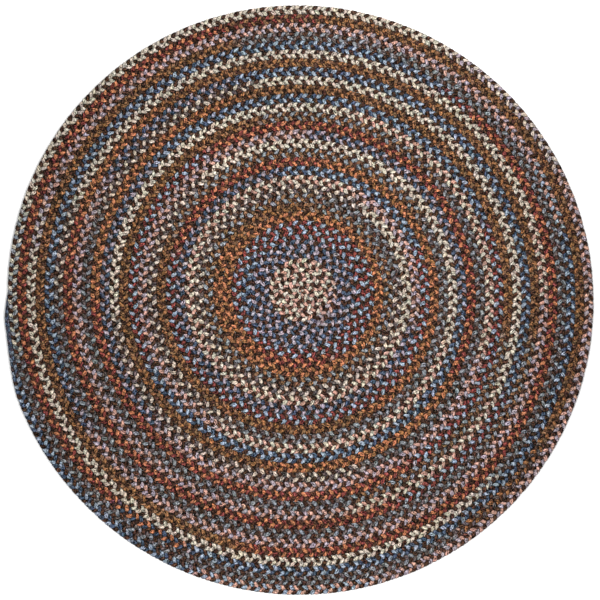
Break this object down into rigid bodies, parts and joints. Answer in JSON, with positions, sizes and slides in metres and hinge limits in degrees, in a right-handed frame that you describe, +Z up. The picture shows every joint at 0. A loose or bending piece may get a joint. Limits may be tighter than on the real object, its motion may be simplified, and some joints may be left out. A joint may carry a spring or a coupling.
{
  "type": "round braided rug",
  "caption": "Round flat rug of one thick braid, coiled from the middle outwards and laced edge to edge, with a tapered outer end.",
  "frame": {"origin": "on the underside, below the middle of the rug's bounding box", "axes": "+Z up through the rug's thickness; +Y towards the top of the picture, +X to its right"},
  "size_m": [1.8196, 1.829, 0.012],
  "materials": {
    "wool_braid": "matte heathered wool, one dark brown strand and two that change colour along the braid"
  },
  "bodies": {
    "root": {"braided_coil": "wool_braid"}
  },
  "joints": []
}
